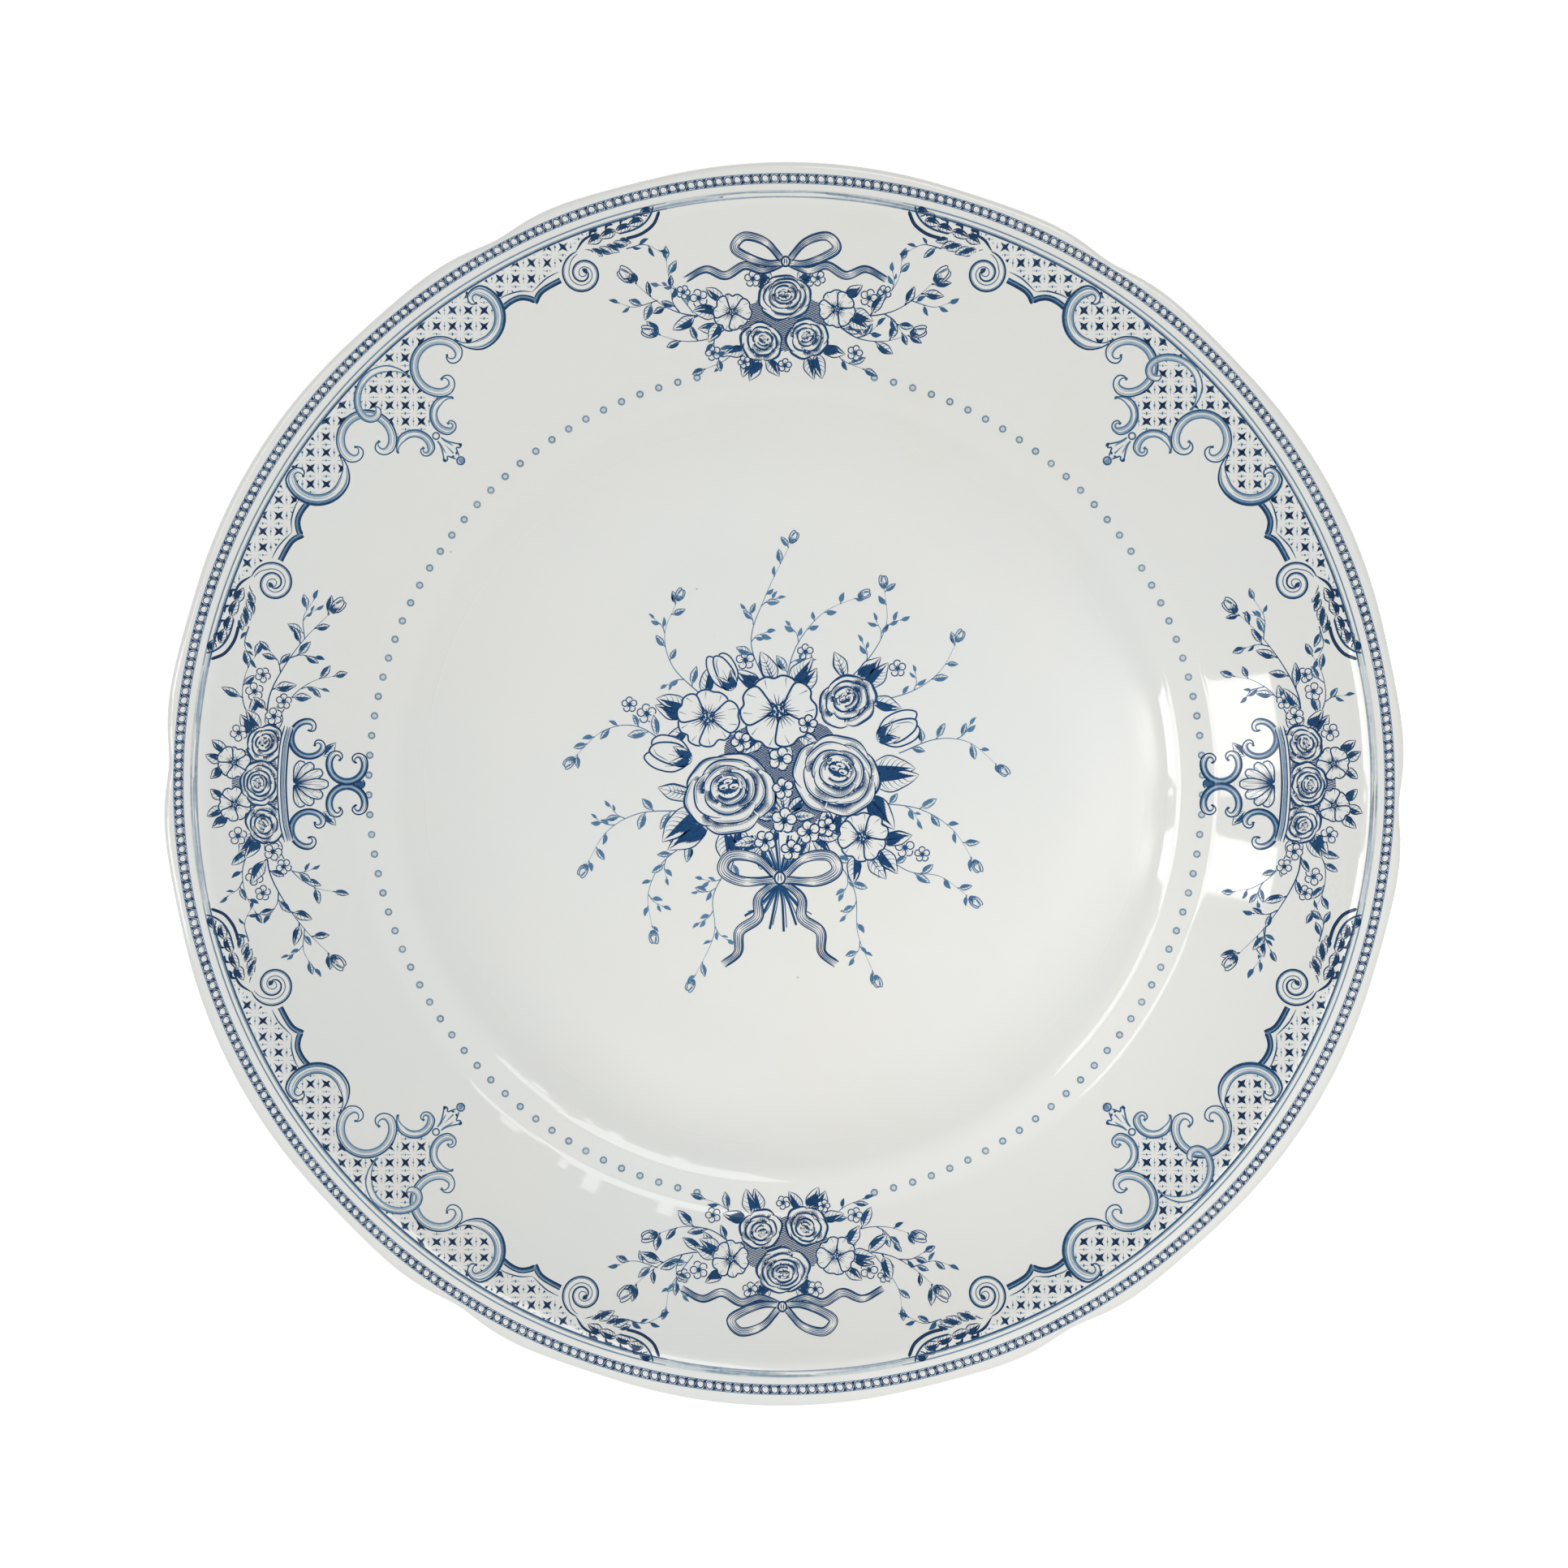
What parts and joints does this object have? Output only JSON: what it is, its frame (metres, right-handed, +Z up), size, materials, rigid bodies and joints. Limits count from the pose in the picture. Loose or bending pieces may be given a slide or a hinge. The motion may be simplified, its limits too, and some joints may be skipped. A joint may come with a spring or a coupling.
{
  "type": "serving bowl",
  "caption": "Round porcelain serving bowl with a deep well, a ledge, a wide flange, a softly lobed flat rim, a low foot ring and blue printed floral and trellis transfers.",
  "frame": {"origin": "middle of the foot ring's bearing edge, where the bowl rests", "axes": "+Z up through the mouth; +Y towards the spray at the head of the centre decoration"},
  "size_m": [0.2998, 0.301, 0.0542],
  "materials": {
    "glazed_porcelain": "gloss glaze",
    "foot_porcelain": "glazed sides, bare ground bearing edge",
    "trellis_print": "blue print under a gloss glaze",
    "floral_print": "blue print under a gloss glaze",
    "border_print": "pale blue print under a gloss glaze",
    "line_print": "pale blue print under a gloss glaze"
  },
  "bodies": {
    "root": {"bowl_body": "glazed_porcelain", "foot_ring": "foot_porcelain", "bead_border": "border_print", "rim_line": "line_print", "trellis_ne": "trellis_print", "trellis_nw": "trellis_print", "trellis_sw": "trellis_print", "trellis_se": "trellis_print", "spray_n": "floral_print", "spray_e": "floral_print", "spray_s": "floral_print", "spray_w": "floral_print", "dots_e": "border_print", "dots_w": "border_print", "centre_spray": "floral_print"}
  },
  "joints": []
}
